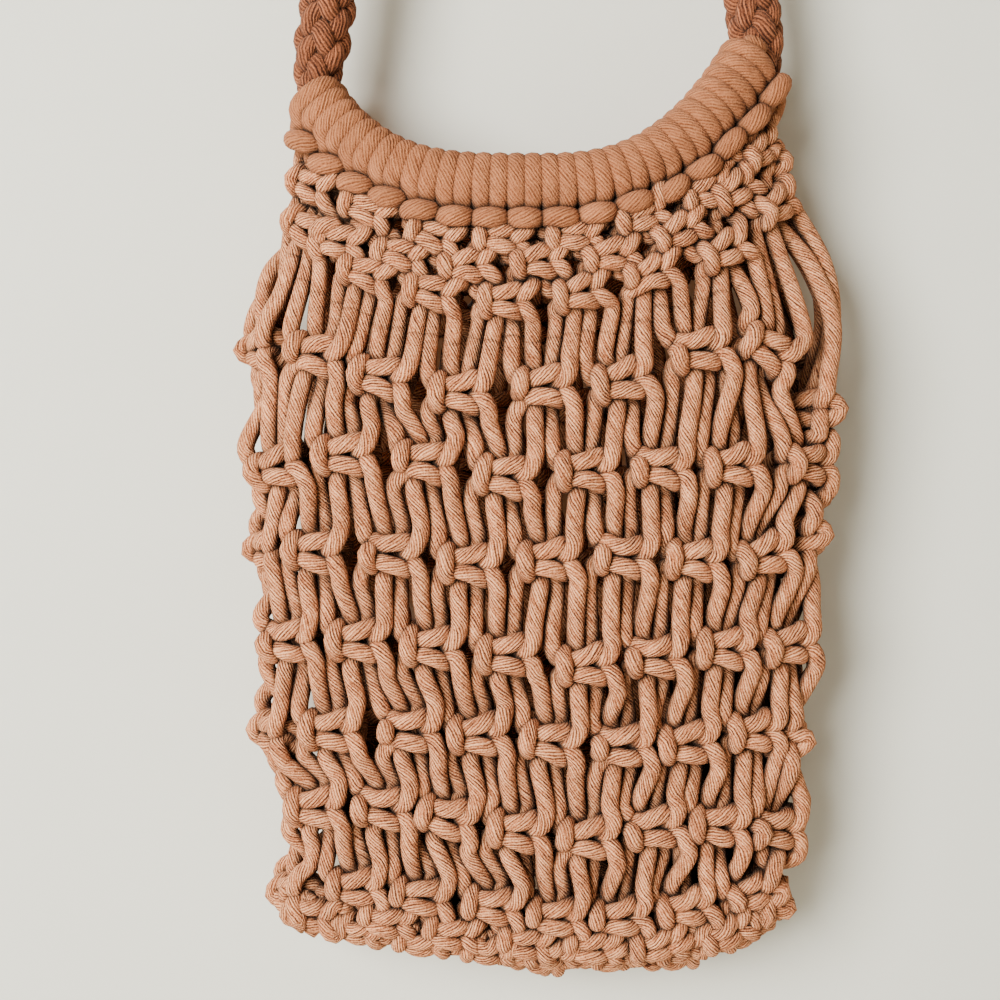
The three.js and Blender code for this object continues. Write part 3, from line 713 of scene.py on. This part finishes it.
def twisted_cotton(name, light, middle, deep, threads=THREADS, rise=THREAD_RISE, crisp=1.0):
    material, tree = new_material(name)
    coords = add(tree, "ShaderNodeUVMap", uv_map="thread")
    split = add(tree, "ShaderNodeSeparateXYZ", {0: coords.outputs["UV"]})
    turn = add(tree, "ShaderNodeMath", {0: split.outputs["X"], 1: 1 / rise}, operation="MULTIPLY")
    around = add(tree, "ShaderNodeMath", {0: split.outputs["Y"], 1: turn.outputs[0]}, operation="ADD")
    angle = add(tree, "ShaderNodeMath", {0: around.outputs[0], 1: 2 * math.pi}, operation="MULTIPLY")
    # The threads, unrolled into a round bundle whose surface is one unit a thread
    sine = add(tree, "ShaderNodeMath", {0: angle.outputs[0]}, operation="SINE")
    cosine = add(tree, "ShaderNodeMath", {0: angle.outputs[0]}, operation="COSINE")
    along = add(tree, "ShaderNodeMath", {0: split.outputs["X"], 1: 1 / FIBRE_LENGTH}, operation="MULTIPLY")
    size = threads / (2 * math.pi)
    wide = add(tree, "ShaderNodeMath", {0: sine.outputs[0], 1: size}, operation="MULTIPLY")
    high = add(tree, "ShaderNodeMath", {0: cosine.outputs[0], 1: size}, operation="MULTIPLY")
    bundle = add(tree, "ShaderNodeCombineXYZ", {0: wide.outputs[0], 1: high.outputs[0],
                                                2: along.outputs[0]})
    streak = add(tree, "ShaderNodeTexNoise",
                 {"Vector": bundle.outputs[0], "Scale": 1.5, "Detail": 4.0, "Roughness": 0.65})
    place = add(tree, "ShaderNodeNewGeometry").outputs["Position"]
    wander = add(tree, "ShaderNodeTexNoise", {"Vector": place, "Scale": WANDERS, "Detail": 1.0})
    wandered = add(tree, "ShaderNodeMath",
                   {0: wander.outputs["Fac"], 1: THREAD_WANDER, 2: around.outputs[0]},
                   operation="MULTIPLY_ADD")
    wave = add(tree, "ShaderNodeMath", {0: wandered.outputs[0], 1: 2 * math.pi * threads},
               operation="MULTIPLY")
    ridge = add(tree, "ShaderNodeMath", {0: wave.outputs[0]}, operation="SINE")
    fine = add(tree, "ShaderNodeTexNoise", {"Vector": place, "Scale": FIBRES, "Detail": 2.0})
    # Ridge, streak and fine fibre added up to a height between 0 and 1
    low = add(tree, "ShaderNodeMath", {0: ridge.outputs[0], 1: 0.24, 2: -0.8}, operation="MULTIPLY_ADD")
    mid = add(tree, "ShaderNodeMath", {0: streak.outputs["Fac"], 1: 1.6, 2: low.outputs[0]},
              operation="MULTIPLY_ADD")
    height = add(tree, "ShaderNodeMath", {0: fine.outputs["Fac"], 1: 1.0, 2: mid.outputs[0]},
                 operation="MULTIPLY_ADD")
    # The tone changes at random along the threads and is partly painted light: the pale colour on the high
    # fibres is a painted highlight, and the dark colour low in the grooves is painted shade
    tint = add(tree, "ShaderNodeValToRGB", {"Fac": height.outputs[0]})
    tint.color_ramp.elements[0].color = linear(deep)
    tint.color_ramp.elements[0].position = 0.5 - 0.38 * crisp
    tint.color_ramp.elements[1].color = linear(light)
    tint.color_ramp.elements[1].position = 0.5 + 0.36 * crisp
    tint.color_ramp.elements.new(0.48).color = linear(middle)
    patch = add(tree, "ShaderNodeTexNoise", {"Vector": place, "Scale": PATCHES, "Detail": 3.0})
    mottle = add(tree, "ShaderNodeMapRange", {"Value": patch.outputs["Fac"], "From Min": 0.3,
                                              "From Max": 0.7, "To Min": 0.84, "To Max": 1.1})
    mottled = add(tree, "ShaderNodeVectorMath", {0: tint.outputs["Color"], "Scale": mottle.outputs[0]},
                  operation="SCALE")
    # Painted shade: between cords, where little light comes, the colour is darkened by how closely the
    # nearby cords close it in, and where two cords touch a thin line of painted shade parts them
    opening = add(tree, "ShaderNodeAmbientOcclusion", {"Distance": GLOOM_REACH}, samples=4)
    gloom = add(tree, "ShaderNodeMapRange", {"Value": opening.outputs["AO"], "From Min": 0.18,
                                             "From Max": 0.64, "To Min": 0.04, "To Max": 1.0})
    touching = add(tree, "ShaderNodeAmbientOcclusion", {"Distance": CONTACT_SHADE_REACH}, samples=4)
    painted_contact_shade = add(tree, "ShaderNodeMapRange", {"Value": touching.outputs["AO"], "From Min": 0.35,
                                            "From Max": 0.85, "To Min": 0.35, "To Max": 1.0})
    dim = add(tree, "ShaderNodeMath", {0: gloom.outputs[0], 1: painted_contact_shade.outputs[0]}, operation="MULTIPLY")
    shade = add(tree, "ShaderNodeVectorMath", {0: mottled.outputs[0], "Scale": dim.outputs[0]},
                operation="SCALE")
    relief = add(tree, "ShaderNodeBump",
                 {"Strength": 0.9, "Distance": FIBRE_RELIEF, "Height": height.outputs[0]})
    cotton = add(tree, "ShaderNodeBsdfPrincipled", {
        "Base Color": shade.outputs[0], "Roughness": 0.92, "IOR": 1.5, "Specular IOR Level": 0.12,
        "Sheen Weight": 0.12, "Sheen Roughness": 0.5, "Sheen Tint": linear("#d8ac8f"),
        "Normal": relief.outputs[0]})
    add(tree, "ShaderNodeOutputMaterial", {"Surface": cotton.outputs[0]})
    return material


# Drawn tight round the core, the wraps show their threads less and look smoother and more even. Their
# colours are the same cotton painted darker than the net's, as painted shade on the rims
shaded_wrap_cotton = twisted_cotton("tight_wrapped_cotton_cord", "#ba784c", "#9f613c", "#6b381c",
                             threads=18, crisp=1.2)
# Hanging loose, the cords show pale threads with dark lines between them, the pale tops partly a
# painted highlight and the dark lines partly painted shade
net_cotton = twisted_cotton("twisted_cotton_cord", "#f9b27f", "#bb7145", "#4b2314")


def ring_lengths(course):
    return np.concatenate([[0], np.cumsum(np.linalg.norm(np.diff(course, axis=0), axis=1))])


WRAP_PRESS = (1.14, 0.84)  # how much wider and flatter than round a wrap lies on the core
WRAP_REACH = 9.5  # from the core's middle to where a cord is round again
WRAP_EASE = 2.0  # over which it becomes so
CORE_BENDS = 60  # points that a core is drawn through
PATTERN_START = 1000  # millimetres from one cord's threads to the next one's, so that none match
part_tubes = {}
for number, cord in enumerate(cords):
    rings = tube_rings(cord["course"], cord["radius"])
    away = cord["course"][:, None, :] - core_line[None, :, :]
    distance = np.linalg.norm(away, axis=2)
    nearest = np.argmin(distance, axis=1)
    near = distance[np.arange(len(rings)), nearest]
    outward = away[np.arange(len(rings)), nearest] / near[:, None]
    share = np.clip((WRAP_REACH - near) / WRAP_EASE, 0, 1)[:, None, None]
    rings = rings + share * (pressed(rings, cord["course"], outward, *WRAP_PRESS) - rings)
    lengths = ring_lengths(cord["course"]) + PATTERN_START * number
    changes = np.flatnonzero(np.diff(cord["part"])) + 1
    bounds = [0, *changes, len(rings) - 1]
    for first, last in zip(bounds[:-1], bounds[1:]):
        key = (PARTS[cord["part"][first]], cord["side"])
        part_tubes.setdefault(key, []).append((rings[first:last + 1], lengths[first:last + 1]))


def cord_piece(name, tubes, cotton, node):
    piece = cord_mesh(name, tubes)
    piece.data.materials.append(cotton)
    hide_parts(node)
    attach(piece, "root")


for side in RIMS:
    cord_piece("rim_" + side + "_wraps", part_tubes["rim", side], shaded_wrap_cotton, "rim_" + side)
    line = [rim_point(side, share) for share in np.linspace(-1, 1, CORE_BENDS)]
    course, snug = smooth_course([(*point, 1.0) for point in line])
    core = (tube_rings(course, snug * RIM_CORE), ring_lengths(course))
    cord_piece("rim_" + side + "_core", [core], shaded_wrap_cotton, "rim_" + side)

# Yoke
# Three close rounds of small tight knots right under the rims, of the same cotton cords. They
# gather the net's top to the width of the mouth.
cord_piece("yoke_knots", part_tubes["yoke", "front"] + part_tubes["yoke", "back"],
           net_cotton, "yoke")

# Net
# Seven rounds of loose knots, about 25 mm apart, with the cotton cords hanging free between them.
# Front and back are one tube of net, which lies nearly flat while the bag is empty.
for side in RIMS:
    cord_piece("net_" + side + "_knots", part_tubes["net", side], net_cotton, "net")

# Base
# The last close rounds of knots turn under the bag and are drawn together along its middle, so the
# same cotton cords close it.
cord_piece("base_knots", part_tubes["base", "front"] + part_tubes["base", "back"],
           net_cotton, "base")

# Strap
# A round braid of eight 5 mm cotton cords, four round each way, each pressed flat where it shows.
# It lies over the peg and runs down between the rims, whose outermost wraps hold it.
STRANDS = 4  # each way
STRAND_HALF_WIDTH = 2.95
STRAND_HALF_DEPTH = 2.2
BRAID_RADIUS = 4.9
BRAID_WAVE = 1.05  # how far out a strand lies where it shows, and in where it is crossed
BRAID_DWELL = 0.7  # the smaller, the longer a strand stays out
BRAID_STEP = 9.2  # along the strap, from one strand to the next of a column
BRAID_HURRY = 0.19  # how much faster a strand goes round where it is crossed
BRAID_TURN = (-8, 16)  # how far a column stands from the front at each foot, in degrees
FIRST_STRAND = 13.5  # from the left foot
FOOT_TAPER = 9.0  # over which the braid closes up at its feet
FOOT_SHARE = 0.6  # how far from its middle the strands then lie
STRAND_SKIP = 3  # points of the strap's line from one of a strand's to the next
PEG_RADIUS = 6.0
PEG_POINTS = 80  # of the strap's line over the peg
STRAP_RADIUS = 7.25
FEET = {"left": (-63.8, -341.5), "right": (60.0, -336)}


def strap_course():
    radius = PEG_RADIUS + STRAP_RADIUS
    peg = np.array([0, -PEG_RADIUS])
    legs = []
    for foot, hand in ((FEET["left"], 1), (FEET["right"], -1)):
        line = np.array(foot) - peg
        angle = math.atan2(line[1], line[0]) - hand * math.acos(radius / np.linalg.norm(line))
        legs.append(angle % (2 * math.pi))
    start, finish = legs
    if finish > start:
        finish -= 2 * math.pi
    turn = np.linspace(start, finish, PEG_POINTS)
    arc = peg + radius * np.stack([np.cos(turn), np.sin(turn)], axis=1)
    line = np.vstack([FEET["left"], arc, FEET["right"]])
    lengths = np.concatenate([[0], np.cumsum(np.linalg.norm(np.diff(line, axis=0), axis=1))])
    even = np.linspace(0, lengths[-1], int(lengths[-1] / FINE_STEP) + 1)
    across, up = (np.interp(even, lengths, line[:, i]) for i in (0, 1))
    return np.stack([across, 0 * even, up], axis=1), even


strap_line, strap_lengths = strap_course()
strap_along = np.gradient(strap_line, axis=0)
strap_along /= np.linalg.norm(strap_along, axis=1)[:, None]
strap_side = np.cross(strap_along, [0, 1, 0])
front = np.array([0.0, 1.0, 0.0])
strap_turn = np.radians(np.interp(strap_lengths, (0, strap_lengths[-1]), BRAID_TURN)) - math.pi / 2
strap_foot = np.minimum(strap_lengths, strap_lengths[-1] - strap_lengths) / FOOT_TAPER
strap_tubes = []
for strand in range(2 * STRANDS):
    way = 1 if strand < STRANDS else -1
    steps = (strap_lengths - FIRST_STRAND) / BRAID_STEP - (0 if way > 0 else 0.5)
    over = np.cos(2 * math.pi * steps)
    wind = steps * math.pi / 2 - BRAID_HURRY * np.sin(2 * math.pi * steps)
    angle = strap_turn + way * wind + (strand % STRANDS) * math.pi / 2 + (0 if way > 0 else math.pi / 4)
    radius = BRAID_RADIUS + BRAID_WAVE * np.sign(over) * np.abs(over) ** BRAID_DWELL
    radius *= FOOT_SHARE + (1 - FOOT_SHARE) * np.clip(strap_foot, 0, 1)
    outward = np.cos(angle)[:, None] * strap_side + np.sin(angle)[:, None] * front
    course = strap_line + radius[:, None] * outward
    even, *outward = smooth_course(np.hstack([course, outward])[::STRAND_SKIP])
    outward = np.stack(outward, axis=1)
    outward /= np.linalg.norm(outward, axis=1)[:, None]
    rings = tube_rings(even, np.ones(len(even)))
    rings = pressed(rings, even, outward, STRAND_HALF_WIDTH, STRAND_HALF_DEPTH)
    strap_tubes.append((rings, ring_lengths(even) + PATTERN_START * strand))
# The strap's cotton is painted darker and browner than the net's: painted shade, for the shade it
# hangs in above
shaded_strap_cotton = twisted_cotton("braided_cotton_strands", "#a8643f", "#703e26", "#33160a",
                              threads=15, rise=24.0)
cord_piece("strap_braid", strap_tubes, shaded_strap_cotton, "strap")
